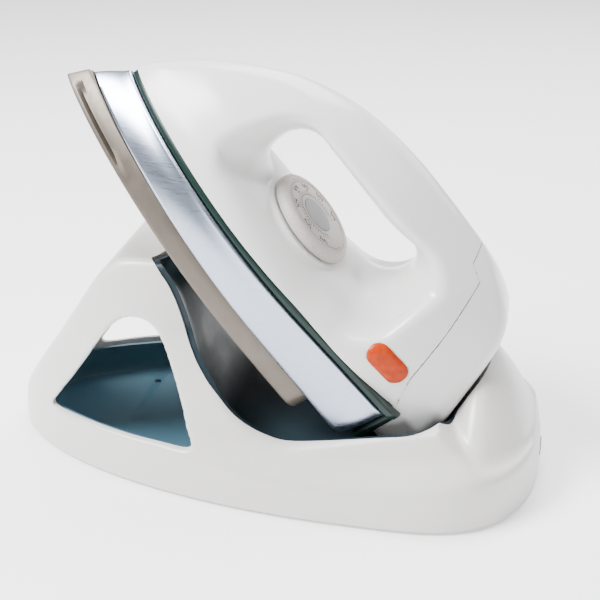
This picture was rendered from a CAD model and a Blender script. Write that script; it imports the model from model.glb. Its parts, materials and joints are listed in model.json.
import itertools
import json
import math

import bmesh
import bpy
import numpy as np
from mathutils import Matrix, Vector


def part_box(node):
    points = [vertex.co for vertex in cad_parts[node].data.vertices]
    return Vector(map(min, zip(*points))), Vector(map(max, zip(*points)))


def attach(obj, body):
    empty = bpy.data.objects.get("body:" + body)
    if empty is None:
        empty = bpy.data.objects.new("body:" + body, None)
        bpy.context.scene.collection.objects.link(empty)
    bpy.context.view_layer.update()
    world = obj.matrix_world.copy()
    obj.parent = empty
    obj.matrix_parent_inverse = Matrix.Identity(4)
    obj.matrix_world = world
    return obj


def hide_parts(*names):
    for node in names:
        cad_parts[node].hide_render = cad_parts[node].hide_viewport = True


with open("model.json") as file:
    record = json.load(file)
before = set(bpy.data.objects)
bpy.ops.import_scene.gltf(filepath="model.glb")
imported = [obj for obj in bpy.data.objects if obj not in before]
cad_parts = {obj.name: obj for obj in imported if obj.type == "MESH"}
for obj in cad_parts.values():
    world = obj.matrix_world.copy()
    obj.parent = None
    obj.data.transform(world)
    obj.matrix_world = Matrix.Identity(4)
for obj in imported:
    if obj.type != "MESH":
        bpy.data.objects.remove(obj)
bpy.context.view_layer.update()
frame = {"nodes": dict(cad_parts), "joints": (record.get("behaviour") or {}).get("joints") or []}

# ---------- the frame ----------
# The iron has its own frame, in millimetres: x from the soleplate's heel to its tip, z up
# from the ironing face. The dial's axis says how that frame is tilted on the stand.
JOINTS = {joint["name"]: joint for joint in frame["joints"]}
DIAL_AT = Vector((67.5, 0, 52.9))
dial_axis = Vector(JOINTS["dial_turn"]["axis"]).normalized()
TILT = math.atan2(dial_axis.x, dial_axis.z)
IRON_TURN = Matrix.Rotation(TILT, 4, "Y") @ Matrix.Rotation(math.pi, 4, "Z")
MM = Matrix.Scale(0.001, 4)
IRON = (Matrix.Translation(Vector(JOINTS["dial_turn"]["pos_m"]) - IRON_TURN @ (DIAL_AT * 0.001))
        @ IRON_TURN @ MM)
STAND = MM               # the stand's own frame is the row frame, in millimetres

# ---------- sizes shared by the iron's pieces, in millimetres ----------
SOLE_LENGTH = 200
SOLE_THICK = 12.5
STRAIGHT_TO = 40         # the sides run straight from the heel to here, then curve in
RISE = 0.0612            # the joints in the casing climb towards the heel
SKIRT_TIP = 181
SKIRT_HEEL = -25
SKIRT_WIDE = 54.5
SKIRT_NOSE = 29
SHIELD_THICK = 3.5
GAP = 0.45               # what shows as a dark line between two covers
FINE, COARSE = 1.3, 2.0  # grid cells: skins that show, and skins inside or for cutting


def skirt_top(x):
    """Height of the metal cover's top edge."""
    return SKIRT_NOSE + RISE * (SKIRT_TIP - x)


# ---------- small tools for shapes ----------
def eased(table, blur=6.0):
    """A smooth function through a table of (input, output) rows."""
    rows = np.array(table, float)
    fine = np.linspace(rows[0, 0] - 3 * blur, rows[-1, 0] + 3 * blur, 1200)
    level = np.interp(fine, rows[:, 0], rows[:, 1])
    step = fine[1] - fine[0]
    reach = int(3 * blur / step)
    weight = np.exp(-0.5 * (np.arange(-reach, reach + 1) * step / blur) ** 2)
    padded = np.pad(level, reach, mode="edge")
    soft = np.convolve(padded, weight / weight.sum(), mode="valid")
    return lambda value: np.interp(value, fine, soft)


def flowing(corners, per_span=8):
    """A closed smooth outline through its corner points (Catmull-Rom)."""
    pts = np.array(corners, float)
    out = []
    for i in range(len(pts)):
        a, b, c, d = (pts[(i + k - 1) % len(pts)] for k in range(4))
        for t in np.arange(per_span) / per_span:
            out.append(0.5 * (2 * b + (c - a) * t + (2 * a - 5 * b + 4 * c - d) * t * t
                              + (3 * b - a - 3 * c + d) * t ** 3))
    return np.array(out)


def distance_to(outline, step=1.0):
    """A function for the signed distance to a closed x-z outline, negative inside it."""
    low, high = outline.min(0) - 14, outline.max(0) + 14
    xs, zs = (np.arange(a, b + step, step) for a, b in zip(low, high))
    x, z = np.meshgrid(xs, zs, indexing="ij")
    best = np.full(x.shape, 1e9)
    inside = np.zeros(x.shape, bool)
    for (ax, az), (bx, bz) in zip(outline, np.roll(outline, -1, axis=0)):
        ex, ez = bx - ax, bz - az
        t = np.clip(((x - ax) * ex + (z - az) * ez) / (ex * ex + ez * ez), 0, 1)
        best = np.minimum(best, (x - ax - t * ex) ** 2 + (z - az - t * ez) ** 2)
        if ez:
            inside ^= ((az > z) != (bz > z)) & (x < ax + (z - az) * ex / ez)
    table = np.where(inside, -1, 1) * np.sqrt(best)

    def look_up(x, z):
        """The distance at a point, between the table's rows."""
        x, z = np.broadcast_arrays(x, z)
        u = np.clip((x - xs[0]) / step, 0, len(xs) - 1.001)
        v = np.clip((z - zs[0]) / step, 0, len(zs) - 1.001)
        i, j = u.astype(int), v.astype(int)
        u, v = u - i, v - j
        near = table[i, j] * (1 - v) + table[i, j + 1] * v
        far = table[i + 1, j] * (1 - v) + table[i + 1, j + 1] * v
        return near * (1 - u) + far * u

    return look_up


def evened(field, x, y, z, h=0.4):
    """The field scaled by its slope, so its values are distances near the skin."""
    here = field(x, y, z)
    slope = np.sqrt(((field(x + h, y, z) - here) / h) ** 2 + ((field(x, y + h, z) - here) / h) ** 2
                    + ((field(x, y, z + h) - here) / h) ** 2)
    return here / np.maximum(slope, 0.4)


def joined(a, b, fillet):
    """Union of two fields with a fillet."""
    h = np.clip(0.5 + 0.5 * (b - a) / fillet, 0, 1)
    return b + (a - b) * h - fillet * h * (1 - h)


def overlap(a, b, fillet):
    """Intersection of two fields with a rounded edge."""
    return -joined(-a, -b, fillet)


def without(a, b, fillet):
    """Field a cut by field b with a rounded edge."""
    return overlap(a, -b, fillet)


def moulded(field, low, high, cell):
    """The skin where a field is zero, as quads: one point in each grid cell it crosses."""
    axes = [np.arange(lo - cell, hi + 2 * cell, cell) for lo, hi in zip(low, high)]
    value = field(*np.meshgrid(*axes, indexing="ij", sparse=True))
    value = np.broadcast_to(value, tuple(len(a) for a in axes))
    cells = tuple(n - 1 for n in value.shape)

    def corner(offset):
        """The field at one corner of every cell."""
        return value[tuple(slice(o, o + n) for o, n in zip(offset, cells))]

    total = np.zeros(cells + (3,))
    count = np.zeros(cells)
    for start in itertools.product((0, 1), repeat=3):
        for axis in range(3):
            if start[axis]:
                continue
            end = tuple(1 if k == axis else s for k, s in enumerate(start))
            a, b = corner(start), corner(end)
            cross = (a < 0) != (b < 0)
            share = np.where(cross, a / np.where(cross, a - b, 1), 0)
            for k in range(3):
                total[..., k] += cross * (start[k] + (share if k == axis else 0))
            count += cross
    active = count > 0
    name = np.full(cells, -1)
    name[active] = np.arange(active.sum())
    where = np.argwhere(active) + total[active] / count[active][:, None]
    points = np.array([a[0] for a in axes]) + where * cell
    inside = value < 0
    quads = []
    for axis in range(3):
        u, v = (axis + 1) % 3, (axis + 2) % 3
        lows = [slice(1, -1)] * 3
        lows[axis] = slice(0, -1)
        highs = list(lows)
        highs[axis] = slice(1, None)
        first, last = inside[tuple(lows)], inside[tuple(highs)]
        for leaving in (True, False):
            at = np.argwhere((first & ~last) if leaving else (~first & last))
            base = at.copy()
            for k in (u, v):
                base[:, k] += 1
            ring = []
            for du, dv in ((-1, -1), (0, -1), (0, 0), (-1, 0)):
                spot = base.copy()
                spot[:, u] += du
                spot[:, v] += dv
                ring.append(name[tuple(spot.T)])
            quads.append(np.stack(ring if leaving else ring[::-1], axis=1))
    for _ in range(3):
        points -= nearest_step(field, points, cell)
    return points, np.concatenate(quads)


def nearest_step(field, points, cell):
    """How far each point is from the skin, along the field's slope."""
    h = 0.25 * cell
    here = field(*points.T)
    slope = np.stack([
        (field(*(points + h * unit).T) - field(*(points - h * unit).T)) / (2 * h)
        for unit in np.eye(3)
    ], axis=1)
    step = slope * (here / np.maximum((slope ** 2).sum(1), 1e-3))[:, None]
    length = np.linalg.norm(step, axis=1, keepdims=True)
    return step * np.minimum(1, 0.7 * cell / np.maximum(length, 1e-9))


def made(name, points, faces, place, sharp=None):
    """A mesh object from points in millimetres and faces, placed in the row frame."""
    mesh = bpy.data.meshes.new(name)
    mesh.from_pydata([place @ Vector(p) for p in np.asarray(points, float)], [],
                     [list(map(int, face)) for face in faces])
    mesh.validate()
    piece = bpy.data.objects.new(name, mesh)
    bpy.context.collection.objects.link(piece)
    return smoothed(piece, sharp)


def smoothed(piece, sharp=None):
    """Smooth shading, with edges over an angle in degrees kept crisp."""
    piece.data.shade_smooth()
    if sharp is not None:
        piece.data.set_sharp_from_angle(angle=math.radians(sharp))
    return piece


def cut(piece, tool, operation="DIFFERENCE"):
    """The piece cut, trimmed or united with a tool mesh, which is then gone."""
    boolean = piece.modifiers.new("cut", "BOOLEAN")
    boolean.operation = operation
    boolean.object = tool
    boolean.solver = "MANIFOLD"
    bpy.context.view_layer.update()
    evaluated = piece.evaluated_get(bpy.context.evaluated_depsgraph_get())
    mesh = bpy.data.meshes.new_from_object(evaluated)
    piece.modifiers.clear()
    old = piece.data
    piece.data = mesh
    bpy.data.meshes.remove(old)
    bpy.data.objects.remove(tool)
    return piece


def slab(outline, low_y, high_y, place):
    """An outline in the x-z plane pulled along y, as a cutting tool."""
    n = len(outline)
    points = [(x, y, z) for y in (low_y, high_y) for x, z in outline]
    area = sum(a[0] * b[1] - b[0] * a[1] for a, b in zip(outline, np.roll(outline, -1, axis=0)))
    sides = [(i, (i + 1) % n, n + (i + 1) % n, n + i) for i in range(n)]
    faces = sides + [tuple(range(n))[::-1], tuple(range(n, 2 * n))]
    if area < 0:
        faces = [face[::-1] for face in faces]
    return made("tool", points, faces, place)


def lathed(name, profile, place, turns):
    """A profile of (radius, height) rows turned about z; rows at radius 0 close it."""
    points, rings = [], []
    for radius, height in profile:
        if radius < 1e-6:
            rings.append([len(points)] * turns)
            points.append((0, 0, height))
        else:
            rings.append(list(range(len(points), len(points) + turns)))
            points += [(radius * math.cos(a), radius * math.sin(a), height)
                       for a in np.arange(turns) * 2 * math.pi / turns]
    faces = []
    for low, high in zip(rings, rings[1:]):
        for i in range(turns):
            j = (i + 1) % turns
            face = list(dict.fromkeys((low[i], low[j], high[j], high[i])))
            if len(face) > 2:
                faces.append(face)
    return made(name, points, faces, place, 35)


def iron_ring(tip, heel, wide, corner):
    """An iron-shaped plan outline, heel to tip and back, as (x, y) rows."""
    corner = max(corner, 0.5)
    side = [(heel, y) for y in np.linspace(0, wide - corner, 5)[:-1]]
    for angle in np.linspace(0, math.pi / 2, 7):
        side.append((heel + corner * (1 - math.cos(angle)), wide - corner * (1 - math.sin(angle))))
    side += [(x, wide) for x in np.linspace(heel + corner, STRAIGHT_TO, 7)[1:-1]]
    for share in np.sin(np.linspace(0, math.pi / 2, 40)):
        side.append((STRAIGHT_TO + (tip - STRAIGHT_TO) * share, wide * (1 - share ** 2) ** 0.85))
    side = np.array(side)
    mirrored = side[1:-1][::-1] * (1, -1)
    return np.concatenate([side, mirrored])


def stacked(name, rings, place, sharp):
    """Faces between rings of (x, y, z) rows; each end is strips across the symmetric ring."""
    n = len(rings[0])
    points = np.concatenate(rings)
    faces = []
    for k in range(len(rings) - 1):
        a, b = k * n, (k + 1) * n
        faces += [(a + (i + 1) % n, a + i, b + i, b + (i + 1) % n) for i in range(n)]
    half = n // 2
    for first in (0, (len(rings) - 1) * n):
        strip = [(first, first + 1, first + n - 1)]
        for i in range(1, half - 1):
            strip.append((first + i, first + i + 1, first + n - i - 1, first + n - i))
        strip.append((first + half - 1, first + half, first + half + 1))
        faces += [face if first == 0 else face[::-1] for face in strip]
    return made(name, points, faces, place, sharp)


def ring_at(plan, z):
    """A plan outline lifted to a height, or to a height that depends on x."""
    heights = z(plan[:, 0]) if callable(z) else np.full(len(plan), z)
    return np.column_stack([plan, heights])


# ---------- looks ----------
def linear(colour):
    """An sRGB hex colour as linear RGBA."""
    values = [int(colour[i:i + 2], 16) / 255 for i in (1, 3, 5)]
    return [v / 12.92 if v < 0.04045 else ((v + 0.055) / 1.055) ** 2.4 for v in values] + [1]


def add(tree, kind, links=None, **settings):
    """A node with its settings; inputs are given by name, from values or other nodes' sockets."""
    node = tree.nodes.new(kind)
    for key, value in settings.items():
        setattr(node, key, value)
    for key, value in (links or {}).items():
        if isinstance(value, bpy.types.NodeSocket):
            tree.links.new(value, node.inputs[key])
        else:
            node.inputs[key].default_value = value
    return node


def material(name, colour, roughness, metallic=0.0, **more):
    """A material with its shader's own sockets set; more holds other socket values."""
    look = bpy.data.materials.new(name)
    look.use_nodes = True
    shader = look.node_tree.nodes["Principled BSDF"]
    shader.inputs["Base Color"].default_value = linear(colour)
    shader.inputs["Roughness"].default_value = roughness
    shader.inputs["Metallic"].default_value = metallic
    for key, value in more.items():
        shader.inputs[key.replace("_", " ")].default_value = value
    return look, look.node_tree, shader


def place_mm(tree):
    """The surface point in millimetres of the row frame."""
    spot = add(tree, "ShaderNodeTexCoord")
    return add(tree, "ShaderNodeVectorMath", {0: spot.outputs["Object"], 1: (1000, 1000, 1000)},
               operation="MULTIPLY").outputs[0]


def grain(tree, size_mm, detail=2.0, stretch=(1, 1, 1)):
    """Noise whose lumps are about size_mm across."""
    mapped = add(tree, "ShaderNodeMapping", {"Vector": place_mm(tree), "Scale": stretch})
    return add(tree, "ShaderNodeTexNoise", {
        "Vector": mapped.outputs[0], "Scale": 0.5 / size_mm, "Detail": detail,
    }).outputs["Fac"]


def textured(tree, shader, height, depth_mm, strength):
    """Bump from a height pattern of the depth given."""
    bump = add(tree, "ShaderNodeBump", {
        "Height": height, "Strength": strength, "Distance": depth_mm * 0.001,
    })
    tree.links.new(bump.outputs[0], shader.inputs["Normal"])


def varied(tree, shader, socket, pattern, low, high):
    """A socket that runs between two values along a pattern."""
    spread = add(tree, "ShaderNodeMapRange", {
        "Value": pattern, "From Min": 0.3, "From Max": 0.7, "To Min": low, "To Max": high,
    })
    tree.links.new(spread.outputs[0], shader.inputs[socket])


def tinted(tree, shader, pattern, one, other):
    """A base colour that runs between two colours along a pattern."""
    mix = add(tree, "ShaderNodeMix", {"Factor": pattern}, data_type="RGBA")
    mix.inputs[6].default_value = linear(one)
    mix.inputs[7].default_value = linear(other)
    tree.links.new(mix.outputs[2], shader.inputs["Base Color"])


def glossy_abs():
    """Injection-moulded ABS from a polished tool: white, with a wide soft gloss."""
    look, tree, shader = material("glossy moulded ABS", "#DDDCDB", 0.2, IOR=1.53)
    tinted(tree, shader, grain(tree, 60), "#DBDAD9", "#DFDEDD")
    varied(tree, shader, "Roughness", grain(tree, 25), 0.18, 0.24)
    textured(tree, shader, grain(tree, 2.5), 0.01, 0.15)
    return look


def pearl_abs():
    """Pearl-white ABS with a fine satin tool finish: softer highlights, faintly warm."""
    look, tree, shader = material("satin pearl ABS", "#D2CFCC", 0.33, IOR=1.53,
                                  Coat_Weight=0.15, Coat_Roughness=0.2)
    tinted(tree, shader, grain(tree, 1.2, 4), "#D0CDCA", "#D4D1CF")
    varied(tree, shader, "Roughness", grain(tree, 18), 0.3, 0.37)
    textured(tree, shader, grain(tree, 0.6, 3), 0.012, 0.2)
    return look


def satin_cover_metal():
    """Anodised aluminium sheet, satin: a cool silver that takes the light in broad bands."""
    look, tree, shader = material("satin anodised aluminium", "#AAB4C6", 0.3, 1.0)
    tinted(tree, shader, grain(tree, 30), "#A6B1C4", "#B0BACA")
    varied(tree, shader, "Roughness", grain(tree, 1.0, 3, (0.2, 0.2, 3)), 0.26, 0.34)
    textured(tree, shader, grain(tree, 0.5, 3, (0.3, 0.3, 2)), 0.006, 0.2)
    return look


def cast_sole_metal():
    """Die-cast aluminium, blasted: a warm grey with a fine even tooth."""
    look, tree, shader = material("blasted die-cast aluminium", "#665F57", 0.45, 0.6)
    tinted(tree, shader, grain(tree, 8, 4), "#635B53", "#6C655D")
    varied(tree, shader, "Roughness", grain(tree, 3, 4), 0.38, 0.5)
    textured(tree, shader, grain(tree, 0.5, 4), 0.03, 0.35)
    return look


def heat_shield_resin():
    """Phenolic resin, compression moulded: near-black green with a hard shine."""
    look, tree, shader = material("moulded phenolic resin", "#102622", 0.3, Specular_IOR_Level=0.3)
    tinted(tree, shader, grain(tree, 10), "#0D211D", "#142B27")
    textured(tree, shader, grain(tree, 1.0), 0.01, 0.2)
    return look


def lining_resin():
    """Glass-filled nylon, moulded: dark slate blue with a low sheen."""
    look, tree, shader = material("moulded glass-filled nylon", "#1D2A30", 0.4,
                                  Specular_IOR_Level=0.3)
    tinted(tree, shader, grain(tree, 14, 3), "#1A262C", "#212F36")
    varied(tree, shader, "Roughness", grain(tree, 6), 0.34, 0.44)
    textured(tree, shader, grain(tree, 0.7, 3), 0.02, 0.3)
    return look


def tray_resin():
    """Polypropylene, moulded: greyed blue, waxy and smooth."""
    look, tree, shader = material("moulded blue polypropylene", "#3F6273", 0.36)
    tinted(tree, shader, grain(tree, 22, 3), "#3B5D6E", "#446878")
    textured(tree, shader, grain(tree, 1.5, 2), 0.015, 0.25)
    return look


def dial_resin():
    """ABS with a spark-eroded texture: warm light grey with a fine speckle."""
    look, tree, shader = material("spark-eroded grey ABS", "#B5AFA9", 0.5)
    tinted(tree, shader, grain(tree, 0.45, 1), "#A49D97", "#C6C0BA")
    textured(tree, shader, grain(tree, 0.5, 2), 0.04, 0.5)
    return look


def printed_ink():
    """Pad-printed ink: flat mid grey."""
    look, tree, shader = material("pad-printed grey ink", "#4C4B4B", 0.6)
    tinted(tree, shader, grain(tree, 0.8), "#464545", "#535252")
    return look


def amber_lens():
    """Tinted acrylic over a neon lamp: orange-red with brighter ribs and a wet shine."""
    look, tree, shader = material("tinted amber acrylic", "#8E1F04", 0.2,
                                  Specular_IOR_Level=0.15)
    ribs = add(tree, "ShaderNodeTexNoise", {"Vector": place_mm(tree), "Scale": 0.35, "Detail": 2.0})
    tinted(tree, shader, ribs.outputs["Fac"], "#8F1E03", "#C04410")
    textured(tree, shader, ribs.outputs["Fac"], 0.2, 0.3)
    return look


def plain_rubber():
    """Moulded silicone rubber: dark grey and dull."""
    look, tree, shader = material("moulded silicone rubber", "#3B3D3F", 0.75)
    tinted(tree, shader, grain(tree, 3, 3), "#35373A", "#434547")
    textured(tree, shader, grain(tree, 0.8, 3), 0.03, 0.4)
    return look


def plated_steel():
    """Zinc-plated steel: cool grey, lightly clouded."""
    look, tree, shader = material("zinc-plated steel", "#A6A8AB", 0.32, 1.0)
    varied(tree, shader, "Roughness", grain(tree, 3, 3), 0.25, 0.42)
    return look


def contact_brass():
    """Silver-tin plated brass: a pale yellow metal, burnished where it rubs."""
    look, tree, shader = material("burnished brass", "#C3A164", 0.28, 1.0)
    varied(tree, shader, "Roughness", grain(tree, 2, 3), 0.2, 0.4)
    return look


def steatite():
    """Unglazed steatite ceramic: cream and chalky."""
    look, tree, shader = material("unglazed steatite", "#E3DCCB", 0.7)
    tinted(tree, shader, grain(tree, 4, 3), "#DDD5C3", "#E9E3D4")
    textured(tree, shader, grain(tree, 0.6, 3), 0.03, 0.4)
    return look


def dull_nylon(name, one, other):
    """Moulded nylon in the colour given: low sheen, slight mottling."""
    look, tree, shader = material(name, one, 0.55)
    tinted(tree, shader, grain(tree, 5, 3), one, other)
    textured(tree, shader, grain(tree, 0.8, 2), 0.02, 0.3)
    return look


def lamp_glass():
    """Clear soda glass of a neon lamp."""
    look, tree, shader = material("clear lamp glass", "#F3E6DA", 0.05, IOR=1.5,
                                  Transmission_Weight=0.9)
    textured(tree, shader, grain(tree, 3), 0.02, 0.2)
    return look


WHITE = glossy_abs()
PEARL = pearl_abs()
SILVER = satin_cover_metal()
SOLE = cast_sole_metal()
SHIELD = heat_shield_resin()
LINING = lining_resin()
TRAY = tray_resin()
DIAL = dial_resin()
INK = printed_ink()
AMBER = amber_lens()
RUBBER = plain_rubber()
STEEL = plated_steel()
BRASS = contact_brass()
CERAMIC = steatite()
BLACK = dull_nylon("moulded black nylon", "#27282A", "#303234")
BASE = dull_nylon("moulded grey ABS", "#B4B3B1", "#BEBDBB")
CAP = dull_nylon("moulded mid-grey ABS", "#8C8B8B", "#969595")
BROWN = dull_nylon("brown silicone sleeving", "#6B4028", "#7A4C31")
BLUE = dull_nylon("blue silicone sleeving", "#35578C", "#3F639B")
GLASS = lamp_glass()


def dressed(piece, look, body, slot, *nodes):
    """The piece's material, the body it rides on, and the CAD nodes it stands for."""
    piece.data.materials.clear()
    piece.data.materials.append(look)
    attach(piece, body)
    if nodes:
        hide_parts(*nodes)
    return piece


# ---------- iron: soleplate, metal cover, heat shield ----------
def soleplate():
    """A flat casting with softened edges and a tapered button groove beside the tip."""
    groove_from, groove_to, groove_deep = 148, 194, 3.2
    rings = []
    profile = [(3.0, 0), (1.2, 0), (0.4, 0.3), (0, 1.1), (0, 2.4), (0, 3.2), (0, 4.6), (0, 6.0),
               (0, 6.8), (0, 11.2), (0.4, 12.1), (1.2, SOLE_THICK), (3.2, SOLE_THICK)]
    for inset, z in profile:
        plan = iron_ring(SOLE_LENGTH + 0.6 - inset, inset, 46.5 - inset, 8 - inset)
        # the edge leans in a little towards the top near the tip
        plan[:, 0] -= 0.45 * z * np.clip((plan[:, 0] - 100) / 100, 0, 1)
        if 2.8 < z < 6.4:
            along = np.clip((plan[:, 0] - groove_from) / (groove_to - groove_from), 0, 1)
            depth = groove_deep * np.clip(along * 6, 0, 1) * np.clip((1 - along) * 8, 0, 1)
            plan[:, 1] -= np.sign(plan[:, 1]) * depth * (np.abs(plan[:, 1]) > 4)
        rings.append(ring_at(plan, z))
    piece = stacked("sole_casting", rings, IRON, 28)
    return dressed(piece, SOLE, "iron", "cast_aluminium", "soleplate")


def skirt():
    """The metal cover: leaning walls that swell a little, a bright rolled top edge."""
    foot = SOLE_THICK + 0.7
    low_tip, top_tip = 192.5, 181.4
    low_wide, top_wide = 50.4, 54.3
    rings = []
    inner = [(1.2, share) for share in (0.9, 0.6, 0.3, 0.0)]
    outer = [(0.5, 0.0), (0.0, 0.03), (0.0, 0.1), (0.0, 0.25), (0.0, 0.4), (0.0, 0.55), (0.0, 0.7),
             (0.0, 0.84), (-0.3, 0.92), (-0.5, 0.955), (-0.3, 0.985), (0.3, 1.0), (1.6, 1.0),
             (3.4, 0.99)]
    for inset, share in inner + outer:
        swell = 1.1 * math.sin(math.pi * min(share, 1))
        tip = low_tip + (top_tip - low_tip) * share - inset + 0.5 * swell
        wide = low_wide + (top_wide - low_wide) * share - inset + swell
        heel = -23.5 - 1.5 * share + inset - 0.5 * swell
        plan = iron_ring(tip, heel, wide, 9 - inset)
        rings.append(ring_at(plan, lambda x, s=share: foot + (skirt_top(x) - foot) * s))
    piece = stacked("skirt_cover", rings, IRON, 40)
    return dressed(piece, SILVER, "iron", "skirt_metal", "skirt")


def heat_shield():
    """The dark band between the metal cover and the casing, turned down at the heel."""
    foot = SKIRT_HEEL - 5.6
    rings = []
    for inset, up in [(3, 0.3), (1.6, 0.3), (1.1, 0.5), (0.9, 0.9), (0.9, 2.0), (0.9, 3.0),
                      (1.1, 3.5), (1.6, 3.7), (3, 3.7)]:
        plan = iron_ring(SKIRT_TIP - inset, foot + inset - 0.9, SKIRT_WIDE - 0.3 - inset, 8)
        rings.append(ring_at(plan, lambda x, u=up: skirt_top(x) + u))
    band = stacked("shield_band", rings, IRON, 30)
    heel = bmesh.new()
    bmesh.ops.create_cube(heel, size=1)
    wide, low, top = 2 * (SKIRT_WIDE - 7), 19, skirt_top(SKIRT_HEEL) + 3
    for vert in heel.verts:
        vert.co = Vector(((SKIRT_HEEL - 0.5 + foot) / 2 + vert.co.x * (SKIRT_HEEL - 0.5 - foot),
                          vert.co.y * wide, (low + top) / 2 + vert.co.z * (top - low)))
    upright = [e for e in heel.edges if abs(e.verts[0].co.z - e.verts[1].co.z) > 1]
    bmesh.ops.bevel(heel, geom=upright, offset=2.2, segments=5, affect="EDGES", profile=0.5)
    mesh = bpy.data.meshes.new("shield_heel")
    heel.to_mesh(mesh)
    heel.free()
    mesh.transform(IRON)
    strip = bpy.data.objects.new("shield_heel", mesh)
    bpy.context.collection.objects.link(strip)
    piece = smoothed(cut(band, strip, "UNION"), 30)
    return dressed(piece, SHIELD, "iron", "heat_shield_plastic", "heat_shield")


# ---------- iron: white casing ----------
CASING_WIDE = 53.6
CASING_TIP = eased([(30, 182), (38, 180), (45, 177.5), (54, 172), (65, 165), (70, 160.5), (81, 150),
                    (95, 135), (101, 126.5), (108, 113), (114, 97), (119, 75)], 2.5)
CASING_HEEL = eased([(28, -48), (34, -53), (42, -57), (50, -57.2), (60, -53), (86, -43.2),
                     (98, -38.3), (108, -31), (114, -22), (119, 0)], 2.5)
CASING_SHARE = eased([(30, 1.01), (42, 1.0), (50, 0.985), (60, 0.94), (70, 0.875), (80, 0.79),
                      (90, 0.69), (98, 0.59), (105, 0.48), (111, 0.37), (116, 0.235), (120, 0.06)], 2.0)
CASING_CROWN = eased([(-60, 106), (-40, 108), (-25, 113), (-9, 116.8), (8, 118.6), (27, 119.2),
                      (52, 119.1), (75, 117.8), (95, 114.8), (110, 108.5), (125, 101), (134, 95),
                      (149, 81.5), (159, 70.5), (171, 54.5), (180, 40)], 4.0)
CASING_REAR = eased([(-60, 0.77), (-45, 0.79), (-28, 0.85), (-12, 0.925), (0, 0.975), (12, 1)], 4)
OPENING_LIFT = eased([(0, 8), (20, 5.5), (46, 0), (60, 0)], 5)


def casing_outer(x, y, z):
    """The casing's outer form, before the hand opening."""
    tip, heel = CASING_TIP(z), CASING_HEEL(z)
    wide = CASING_WIDE * CASING_SHARE(z)
    run = np.clip((x - STRAIGHT_TO) / (tip - STRAIGHT_TO), 0, 0.9999)
    front = (1 - run ** 2) ** 0.85
    lean = 1 + 0.006 * np.clip(z - 50, 0, 50) * np.clip((10 - x) / 55, 0, 1)
    side = np.abs(y) - wide * front * (1 - (1 - CASING_REAR(x)) * lean)
    rear_face = heel + 0.0035 * y * y - x
    sides = overlap(overlap(side, x - tip, 3), rear_face, 9)
    return overlap(overlap(sides, z - CASING_CROWN(x), 7), 27 - z, 2)


def hand_opening(x, y, z):
    """The room for the fingers, which opens out towards both sides."""
    off = np.abs(y)
    z = z - OPENING_LIFT(x)
    front = 110.5 + 0.022 * np.minimum(off, 30) ** 2
    rear = 18.5 - 0.0085 * np.minimum(off, 32) ** 2
    top = 89.5 + 0.011 * np.minimum(off, 32) ** 2
    floor = 52.2 - 0.0036 * off ** 2
    middle, half = (front + rear) / 2, (front - rear) / 2
    centre, tall = (top + floor) / 2, (top - floor) / 2
    corner = np.minimum(17, tall - 0.5)
    dx = np.abs(x - middle) - (half - corner)
    dz = np.abs(z - centre) - (tall - corner)
    rounded = np.hypot(np.maximum(dx, 0), np.maximum(dz, 0)) + np.minimum(np.maximum(dx, dz), 0)
    return rounded - corner


def casing(x, y, z):
    """The casing with its hand opening and the flat seat under the dial."""
    whole = without(evened(casing_outer, x, y, z), hand_opening(x, y, z), 7)
    seat_radius, seat_low, seat_top = 27.2, 44, 52.4
    seat = np.maximum(np.hypot(x - DIAL_AT.x, y) - seat_radius, z - seat_top)
    seat = np.maximum(seat, seat_low - z)
    return joined(whole, seat, 2.5)


CASING_WALL = 2.6
CASING_LOW, CASING_HIGH = (-60, -57, 24), (184, 57, 121)


def casing_room(x, y, z):
    """The hollow inside the casing's wall."""
    return casing(x, y, z) + CASING_WALL


def seam(shift):
    """The joint between the casing and its rear cover, from below to above."""
    return [(-31 + shift, 20), (-26.8 + shift, 39), (-17.5 + shift, 61), (-10.7 + shift, 86.5),
            (-2.6 + shift, 111), (6.6 + shift, 113.2), (12 + shift, 130)]


def casing_pieces():
    """Body shell, with the lamp's window, and rear cover, parted along the seam."""
    whole = made("casing_whole", *moulded(casing, CASING_LOW, CASING_HIGH, FINE), IRON)
    room_low = (CASING_LOW[0], CASING_LOW[1], CASING_LOW[2] - 2)
    cut(whole, made("tool", *moulded(casing_room, room_low, CASING_HIGH, COARSE), IRON))
    rear = whole.copy()
    rear.data = whole.data.copy()
    bpy.context.collection.objects.link(rear)
    foot = [(x, skirt_top(x) + SHIELD_THICK + GAP + 0.15) for x in (220, -26)]
    front_keep = [foot[0], (220, 140)] + seam(GAP)[::-1][:-2] + [foot[1]]
    body = cut(whole, slab(front_keep, -70, 70, IRON), "INTERSECT")
    rear_keep = seam(0) + [(-90, 130), (-90, 20)]
    back = cut(rear, slab(rear_keep, -70, 70, IRON), "INTERSECT")
    heel_line = [(-90, 10), (-90, 62), (-56.5, 49), (-49, 38.5), (-41, 32), (-20, 30), (-20, 10)]
    back = cut(back, slab(heel_line, -70, 70, IRON))
    for side in ("left", "right"):
        cut(back, bore(f"contact_plate_{side}", 5.3))
    body.name, back.name = "casing_body", "casing_rear_cover"
    smoothed(back, 32)
    dressed(back, WHITE, "iron", "iron_white", "rear_cover")
    cut(body, slab(pill(0.45), 38, 70, IRON))
    smoothed(body, 32)
    dressed(body, WHITE, "iron", "iron_white", "body_shell")


LAMP_X, LAMP_Z, LAMP_LONG, LAMP_TALL = -3, 58.5, 25, 12


def pill(grow):
    """The lamp's outline in the x-z plane."""
    radius, half = LAMP_TALL / 2 + grow, (LAMP_LONG - LAMP_TALL) / 2
    right = [(LAMP_X + half + radius * math.cos(a), LAMP_Z + radius * math.sin(a))
             for a in np.linspace(-math.pi / 2, math.pi / 2, 14)]
    left = [(2 * LAMP_X - x, 2 * LAMP_Z - z) for x, z in right]
    return right + left


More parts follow.
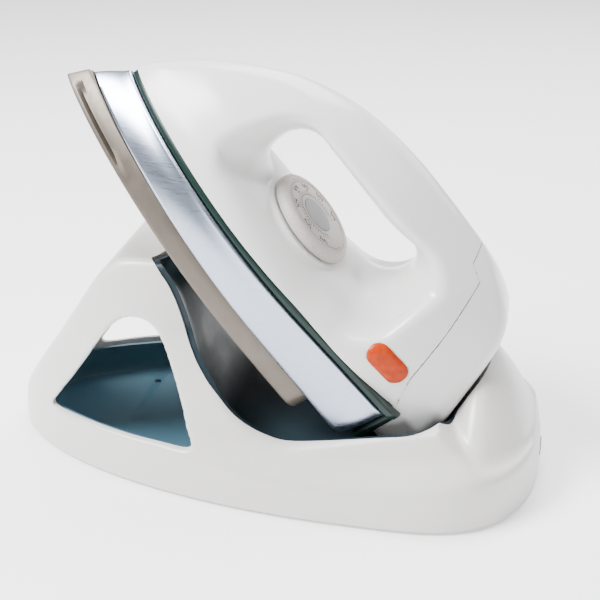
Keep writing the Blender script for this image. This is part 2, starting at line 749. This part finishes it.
def lamp_lens():
    """The pilot lamp's lens, domed, in its window in the near side wall."""
    def wall(x, z):
        """How far out the casing's skin is."""
        out = np.full(x.shape, 60.0)
        for _ in range(30):
            out = out - casing(x, out, z)
        return out

    rings = []
    for grow, lift in [(0.0, -3.0), (0.0, -0.2), (-0.25, 0.35), (-0.9, 0.8), (-2.0, 1.15),
                       (-3.6, 1.4), (-5.2, 1.5)]:
        outline = np.array(pill(grow))
        depth = wall(outline[:, 0], outline[:, 1]) + lift
        rings.append(np.column_stack([outline[:, 0], depth, outline[:, 1]]))
    n = len(rings[0])
    faces = [(k * n + i, k * n + (i + 1) % n, (k + 1) * n + (i + 1) % n, (k + 1) * n + i)
             for k in range(len(rings) - 1) for i in range(n)]
    last = (len(rings) - 1) * n
    faces += [tuple(range(last, last + n)), tuple(range(n))[::-1]]
    lens = made("lamp_window", np.concatenate(rings), faces, IRON, 40)
    return dressed(lens, AMBER, "iron", "lamp_amber", "lamp_lens")


# ---------- iron: dial ----------
DIAL_PLACE = IRON @ Matrix.Translation(DIAL_AT)
DIAL_RADIUS, FACE_RADIUS, CAP_RADIUS = 25.9, 21.4, 9.6
INK_LOW, INK_TOP = 6.2, 6.31


def dial():
    """The knob: a speckled rim with a soft edge, a sunk printed face and a centre cap."""
    rim = lathed("dial_knob", [
        (3.4, 0.5), (22, 0.5), (DIAL_RADIUS - 0.9, 0.5), (DIAL_RADIUS - 0.25, 0.8),
        (DIAL_RADIUS, 1.5), (DIAL_RADIUS - 0.1, 3.6), (DIAL_RADIUS - 0.6, 4.9),
        (DIAL_RADIUS - 1.6, 5.9), (DIAL_RADIUS - 2.8, 6.4), (FACE_RADIUS + 0.5, 6.5),
        (FACE_RADIUS + 0.1, 6.3), (FACE_RADIUS, 5.6), (3.4, 5.6), (3.4, 0.5),
    ], DIAL_PLACE, 128)
    dressed(rim, DIAL, "dial", "dial_grey", "dial")
    face = lathed("dial_scale", [
        (CAP_RADIUS + 0.25, 5.7), (FACE_RADIUS - 0.15, 5.7), (FACE_RADIUS - 0.15, 6.1),
        (FACE_RADIUS - 0.4, 6.25), (CAP_RADIUS + 0.5, 6.25), (CAP_RADIUS + 0.25, 6.1),
        (CAP_RADIUS + 0.25, 5.7),
    ], DIAL_PLACE, 128)
    dressed(face, DIAL, "dial", "dial_grey", "dial_face")
    cap = lathed("dial_centre", [
        (0, 5.7), (CAP_RADIUS, 5.7), (CAP_RADIUS, 6.35), (CAP_RADIUS - 0.4, 6.6),
        (CAP_RADIUS - 2, 6.72), (0, 6.8),
    ], DIAL_PLACE, 96)
    dressed(cap, CAP, "dial", "dial_cap_grey", "dial_cap")


def ink_bar(bm, radius, angle, long, wide, turn=0.0):
    """One printed stroke on the dial's face, centred at a radius and angle."""
    centre = Vector((radius * math.cos(angle), radius * math.sin(angle), 0))
    along = Vector((math.cos(angle + turn), math.sin(angle + turn), 0))
    side = Vector((-along.y, along.x, 0))
    corners = [centre + along * a * long / 2 + side * b * wide / 2
               for a, b in ((-1, -1), (1, -1), (1, 1), (-1, 1))]
    low = [bm.verts.new(c + Vector((0, 0, INK_LOW))) for c in corners]
    high = [bm.verts.new(c + Vector((0, 0, INK_TOP))) for c in corners]
    bm.faces.new(low[::-1])
    bm.faces.new(high)
    for i in range(4):
        j = (i + 1) % 4
        bm.faces.new((low[i], low[j], high[j], high[i]))


def ink_arc(bm, radius, start, end, wide):
    """A printed arc, built of short strokes that share their ends."""
    steps = max(4, int(abs(end - start) / 0.08))
    angles = np.linspace(start, end, steps + 1)
    loops = []
    for a in angles:
        out = Vector((math.cos(a), math.sin(a), 0))
        loops.append([bm.verts.new(out * (radius + s * wide / 2) + Vector((0, 0, z)))
                      for s, z in ((-1, INK_LOW), (1, INK_LOW), (1, INK_TOP), (-1, INK_TOP))])
    for a, b in zip(loops, loops[1:]):
        for i in range(4):
            bm.faces.new((a[i], b[i], b[(i + 1) % 4], a[(i + 1) % 4]))
    bm.faces.new(loops[0])
    bm.faces.new(loops[-1][::-1])


def dial_print():
    """A generic scale: rings, ticks, heat dots and short settings marks."""
    bm = bmesh.new()
    ink_arc(bm, 12.2, math.radians(-120), math.radians(150), 0.35)
    ink_arc(bm, FACE_RADIUS - 1.3, math.radians(-150), math.radians(170), 0.25)
    for k in range(36):
        angle = math.radians(-130 + 8 * k)
        ink_bar(bm, 13.4, angle, 1.5 if k % 4 else 2.3, 0.3)
    # each setting has its angle in degrees and its number of heat dots
    settings = [(-118, 1), (-78, 1), (-38, 2), (2, 2), (42, 3), (82, 3), (122, 0)]
    for degrees, dots in settings:
        angle = math.radians(degrees)
        for row, (spread, turn) in enumerate([(-2.4, 0.0), (-0.9, 1.1), (0.7, -0.5), (2.2, 0.4)]):
            ink_bar(bm, 17.6 + 0.5 * (row % 2), angle + spread / 17.6, 2.6, 0.55, turn)
            ink_bar(bm, 17.0 + 0.9 * (row % 2), angle + spread / 17.6, 1.5, 0.5, turn + 1.4)
        for dot in range(dots):
            ink_bar(bm, 15.2, angle + (dot - (dots - 1) / 2) * 0.085, 0.8, 0.8)
    mesh = bpy.data.meshes.new("dial_print")
    bmesh.ops.recalc_face_normals(bm, faces=bm.faces)
    bm.to_mesh(mesh)
    bm.free()
    mesh.transform(DIAL_PLACE)
    piece = bpy.data.objects.new("dial_print", mesh)
    bpy.context.collection.objects.link(piece)
    return dressed(piece, INK, "dial", "dial_grey")


# ---------- stand: outer form ----------
STAND_NOSE, STAND_TAIL = -145.2, 145.2
STAND_WIDE = 74.8
WIDEST_X = 45
STAND_LOW, STAND_HIGH = (-148, -77, -9), (148, 77, 124)
BELOW = -6               # the stand's solids run on to here and are trimmed afterwards
STAND_TOP = [(-190, -40), (-147, -40), (-146, 2), (-144.5, 10), (-139, 26), (-129, 42), (-118, 57.5),
             (-105, 76), (-93, 94), (-84, 107), (-75, 116), (-66, 120.2), (-57, 121.6), (-46, 120.5),
             (-37, 115), (-31, 105), (-26.5, 90), (-22, 75), (-17, 62), (-10, 50.5), (-1, 42),
             (9, 37), (20, 35), (40, 38), (61, 42.5), (78, 46), (90, 48.5), (97, 52.5), (102, 60),
             (106, 66.5), (110, 69.5), (115, 69), (121, 63.5), (127, 56), (132, 48.5), (136.5, 40.5),
             (140.5, 30), (143.5, 18), (145.2, 5), (146, -40), (190, -40), (190, -60), (-190, -60)]
STAND_TOP_FLOW = flowing(STAND_TOP, 5)
STAND_TOP_AT = distance_to(STAND_TOP_FLOW)
BELT = eased([(-150, 25), (-30, 26), (-5, 23.5), (21, 21.8), (45, 20.5), (70, 21), (100, 25),
              (122, 31), (150, 38)], 10)
BELT_FLAT = 22           # the belt's height that the rear table of shares is written for
SHARE_FRONT = eased([(-10, 1), (14, 1.0), (24, 0.995), (30, 0.975), (40, 0.94), (60, 0.88), (90, 0.79),
                     (108, 0.71), (118, 0.63), (126, 0.5)], 2.5)
SHARE_REAR = eased([(-10, 1), (10, 1.0), (18, 0.995), (22, 0.975), (28, 0.9), (34, 0.83), (42, 0.79),
                    (54, 0.76), (66, 0.7), (76, 0.6), (84, 0.45)], 1.6)
TOWARDS_REAR = eased([(-60, 0), (0, 1)], 12)
SADDLE_LOW, SADDLE_DISH, SADDLE_REACH = 113.5, 0.0045, 40
HUMP_ARCH = eased([(86, 0), (103, 0.012)], 3)
HUMP_FOOT = eased([(80, 64), (90, 54), (98, 46), (106, 38), (116, 31), (130, 29), (150, 30)], 4)


def stand_half_width(x, z):
    """Half the stand's width: an egg-shaped plan, drawn in above the belt line."""
    ahead = np.clip((WIDEST_X - x) / (WIDEST_X - STAND_NOSE), 0, 0.99999)
    behind = np.clip((x - WIDEST_X) / (STAND_TAIL - WIDEST_X), 0, 0.99999)
    plan = STAND_WIDE * (1 - ahead ** 2) ** 0.53 * np.sqrt(1 - behind ** 4)
    part = TOWARDS_REAR(x)
    lifted = z - (BELT(x) - BELT_FLAT) * part
    return plan * (SHARE_FRONT(z) * (1 - part) + SHARE_REAR(lifted) * part)


def stand_outer(x, y, z):
    """The stand's outer form: walls, a dished saddle in front and a domed hump behind."""
    side = np.abs(y) - stand_half_width(x, z)
    saddle = z - SADDLE_LOW - SADDLE_DISH * np.minimum(y * y, SADDLE_REACH ** 2)
    hump = STAND_TOP_AT(x, z + HUMP_ARCH(x) * y * y)
    foot = np.maximum(STAND_TOP_AT(x, z), z - HUMP_FOOT(x))
    top = joined(hump, foot, 0.4 + 400 * HUMP_ARCH(x))
    return overlap(overlap(side, top, 5), saddle, 4)


FLOOR_LINE = [(-54, 134), (-53, 120), (-50, 113.5), (-45, 109.5), (-40, 103), (-36, 94),
              (-32, 82), (-27, 64), (-19, 47), (-8, 34.5), (8, 27.2), (40, 27), (86, 27.2), (93, 32),
              (97, 44), (104, 62), (112, 80), (118, 108), (121, 134)]
FLOOR_AT = distance_to(flowing(FLOOR_LINE, 4))
CRADLE_WIDE = eased([(-90, 27), (-62, 31), (-48, 38), (-36, 45), (-22, 52), (-8, 53.8), (82, 53.8),
                     (91, 49), (100, 38), (110, 26), (125, 12)], 4)


def cradle(x, y, z):
    """The hollow that takes the iron."""
    return overlap(np.abs(y) - CRADLE_WIDE(x), FLOOR_AT(x, z), 7)


ARCH = [(-113, 28), (-109, 37), (-100, 49), (-90, 63), (-81, 76), (-72, 86.5), (-63, 90.5),
        (-54, 88.5), (-47, 80), (-41, 67), (-36, 52), (-32.5, 38), (-30, 28), (-50, 27.6),
        (-90, 27.6)]
ARCH_AT = distance_to(flowing(ARCH, 5))
REAR_ROOM = 1.9          # between the hump's face and the iron's rear cover


def iron_shadow(x, y, z, room):
    """The iron's casing, grown by a clearance, in the stand's frame."""
    back = IRON.inverted() @ STAND
    flat = np.stack(np.broadcast_arrays(x, y, z), axis=-1).astype(float)
    turn = np.array(back.to_3x3())
    local = flat @ turn.T + np.array(back.translation)
    px, py, pz = np.moveaxis(local, -1, 0)
    grown = evened(casing_outer, px, py, pz) - room
    return overlap(overlap(grown, 60 - x, 3), z - 100, 3)


def stand_solid(x, y, z):
    """The stand's outer form with the arch cut through it."""
    solid = without(evened(stand_outer, x, y, z), ARCH_AT(x, z), 1.6)
    return np.maximum(solid, BELOW - z)


def stand_within(x, y, z, wall):
    """The stand's outer form, smaller by a wall."""
    return np.maximum(evened(stand_outer, x, y, z) + wall, BELOW - z)


def stand_room(x, y, z):
    """The hollow inside the stand, which leaves a wall round the cradle and behind the iron."""
    inner = without(stand_within(x, y, z, 3), iron_shadow(x, y, z, REAR_ROOM + 3), 2)
    return without(inner, cradle(x, y, z) - 5.2, 3)


def cradle_block(grow):
    """The cradle's hollow as a solid, grown by a distance."""
    skin = moulded(lambda x, y, z: cradle(x, y, z) - grow, (-100, -62, 20), (140, 62, 160), COARSE)
    return made("tool", *skin, STAND)


def iron_block(room):
    """The heel end of the iron's casing as a solid, with room round it."""
    skin = moulded(lambda x, y, z: iron_shadow(x, y, z, room), (56, -62, 10), (150, 62, 106), COARSE)
    return made("tool", *skin, STAND)


def stand_block():
    """The stand's outer form as a solid, a little smaller all round."""
    skin = moulded(lambda x, y, z: stand_within(x, y, z, 1.2), STAND_LOW, STAND_HIGH, COARSE)
    return made("tool", *skin, STAND)


def bore(node, radius):
    """A rod along the contacts' axis through the middle of a CAD piece, to cut its hole."""
    low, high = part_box(node)
    axis = Vector(JOINTS["plunger_left_press"]["axis"])
    place = (Matrix.Translation((low + high) / 2)
             @ axis.to_track_quat("Z", "Y").to_matrix().to_4x4() @ MM)
    return lathed("tool", [(0, -16), (radius, -16), (radius, 16), (0, 16)], place, 48)


def stand_cover():
    """The white shell, hollowed, opened for the iron and trimmed level above the table."""
    piece = made("stand_shell", *moulded(stand_solid, STAND_LOW, STAND_HIGH, 1.4), STAND)
    cut(piece, made("tool", *moulded(stand_room, STAND_LOW, STAND_HIGH, COARSE), STAND))
    cut(piece, cradle_block(2.9))
    cut(piece, iron_block(REAR_ROOM))
    for side in ("left", "right"):
        cut(piece, bore(f"contact_plunger_{side}", 2.8))
    keep = [(-160, 2), (160, 2), (160, 140), (-160, 140)]
    cut(piece, slab(keep, -90, 90, STAND), "INTERSECT")
    smoothed(piece, 38)
    return dressed(piece, PEARL, "stand", "stand_white", "stand_cover")


def cradle_lining():
    """The dark cup between the stand and the iron, a little below the stand's rim."""
    piece = cradle_block(2.6)
    piece.name = "cradle_liner"
    cut(piece, cradle_block(0))
    cut(piece, iron_block(REAR_ROOM + 0.3))
    cut(piece, stand_block(), "INTERSECT")
    smoothed(piece, 35)
    return dressed(piece, LINING, "stand", "lining_slate", "cradle_lining")


def tray():
    """A shallow pan that fills the stand's nose, with a small drain hole."""
    def plan(inset, z, end):
        """One level's outline: it follows the stand's inside and ends in a straight back."""
        xs = STAND_NOSE + 4.6 + inset + (end - STAND_NOSE - 4.6 - inset) * (
            1 - np.cos(np.linspace(0, math.pi / 2, 40)))
        wide = np.maximum(stand_half_width(xs, np.full(40, z)) - 3.6 - inset, 0)
        reach = np.sqrt(np.clip((xs - xs[0]) / 12, 0, 1))
        side = np.column_stack([xs, wide * reach])
        side[0, 1] = 0
        tail = [(end, y) for y in np.linspace(side[-1, 1], 0, 8)[1:]]
        half = np.concatenate([side, tail])
        return np.concatenate([half, half[1:-1][::-1] * (1, -1)])

    rings = []
    for inset, z in [(0.8, 4.6), (0.2, 5.0), (0, 6), (0, 14), (1.2, 20), (2.4, 25.3), (3.2, 25.7),
                     (4.4, 25.3), (4.2, 20), (3.0, 14), (3.2, 9.5), (4.2, 7.6), (6.5, 6.7)]:
        rings.append(ring_at(plan(inset, min(z, 24), -10 - inset), z))
    piece = stacked("tray_pan", rings, STAND, 35)
    drain = lathed("tool", [(0, -5), (2, -5), (2, 20), (0, 20)],
                   STAND @ Matrix.Translation((-79, 33, 0)), 32)
    cut(piece, drain)
    smoothed(piece, 35)
    return dressed(piece, TRAY, "stand", "tray_blue", "tray")


def feet():
    """Four soft feet with rounded edges."""
    for i in range(1, 5):
        low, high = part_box(f"foot_{i}")
        centre = (low + high) / 2
        foot = lathed(f"soft_foot_{i}", [
            (0, 0.35), (4.5, 0.35), (5.2, 0.0), (6.2, 0.0), (6.9, 0.5), (7, 1.2), (6.8, 2.0),
            (2.5, 2.0), (2.5, 4.2), (0, 4.2),
        ], Matrix.Translation((centre.x, centre.y, 0)) @ MM, 48)
        dressed(foot, RUBBER, "stand", "rubber", f"foot_{i}")


def carried_over():
    """Finishes for the CAD pieces whose own shape is right."""
    finishes = {
        STEEL: ["heating_element", "cover_screw_1", "cover_screw_2", "cover_screw_3", "dial_shaft",
                "thermal_fuse", "base_screw_1", "base_screw_2", "base_screw_3", "base_screw_4",
                "contact_spring_left", "contact_spring_right"],
        BRASS: ["contact_plate_left", "contact_plate_right", "contact_plunger_left",
                "contact_plunger_right", "thermostat_bimetal"],
        CERAMIC: ["terminal_block", "thermostat"],
        RUBBER: ["sole_rest_left", "sole_rest_right", "heel_rest_left", "heel_rest_right",
                 "cable_gland"],
        BLACK: ["lamp_holder", "dock_block"],
        BASE: ["base_plate"],
        GLASS: ["lamp_bulb"],
        BROWN: ["iron_lead_left", "stand_lead_left"],
        BLUE: ["iron_lead_right", "stand_lead_right"],
    }
    for look, nodes in finishes.items():
        for node in nodes:
            shown = frame["nodes"][node]
            shown.data.materials.clear()
            shown.data.materials.append(look)


# ---------- build ----------
soleplate()
skirt()
heat_shield()
casing_pieces()
lamp_lens()
dial()
dial_print()
stand_cover()
cradle_lining()
tray()
feet()
carried_over()


# ---------- stage: pale floor, soft studio light, camera ----------
def studio():
    """A pale sweep under four soft lights; the key comes from the nose side, above."""
    world = bpy.data.worlds.new("studio")
    bpy.context.scene.world = world
    world.use_nodes = True
    backdrop = world.node_tree.nodes["Background"]
    backdrop.inputs["Color"].default_value = linear("#F6F7FA")
    backdrop.inputs["Strength"].default_value = 0.3
    floor = made("floor", [(-3e4, -3e4, 0), (3e4, -3e4, 0), (3e4, 3e4, 0), (-3e4, 3e4, 0)],
                 [(0, 1, 2, 3)], STAND)
    paper, tree, shader = material("pale paper sweep", "#FBFBFB", 0.9,
                                   Emission_Color=linear("#FFFFFF"), Emission_Strength=0.5)
    tinted(tree, shader, grain(tree, 40), "#FAFAFA", "#FCFCFC")
    floor.data.materials.append(paper)
    lights = [
        ("key", (-0.75, -0.5, 1.15), 0.6, 58, "#FFFFFF"),
        ("fill", (0.9, -0.9, 0.5), 0.6, 1.5, "#FFF6F2"),
        ("top", (0.15, 0.35, 1.3), 0.8, 30, "#FFFFFF"),
        ("rim", (0.7, 0.9, 0.7), 0.6, 6, "#F4F8FF"),
    ]
    for name, spot, size, power, colour in lights:
        area = bpy.data.lights.new(name, "AREA")
        area.size = size
        area.energy = power
        area.color = linear(colour)[:3]
        light = bpy.data.objects.new(name, area)
        light.location = spot
        aim = Vector((0, 0, 0.1)) - Vector(spot)
        light.rotation_euler = aim.to_track_quat("-Z", "Y").to_euler()
        bpy.context.collection.objects.link(light)


def camera():
    """The viewpoint: a little to the tail side, from above, at arm's length."""
    turn, rise, away = math.radians(12.08), math.radians(24.86), 0.6
    aim = Vector((0.008, 0, 0.1))
    level = math.cos(rise)
    back = Vector((math.sin(turn) * level, -math.cos(turn) * level, math.sin(rise)))
    data = bpy.data.cameras.new("camera")
    data.lens = 68.73
    data.sensor_width = 36
    data.shift_x, data.shift_y = 0.0188, -0.042
    data.clip_start, data.clip_end = 0.01, 20
    shot = bpy.data.objects.new("camera", data)
    shot.location = aim + back * away
    shot.rotation_euler = back.to_track_quat("Z", "Y").to_euler()
    bpy.context.collection.objects.link(shot)
    bpy.context.scene.camera = shot


studio()
camera()
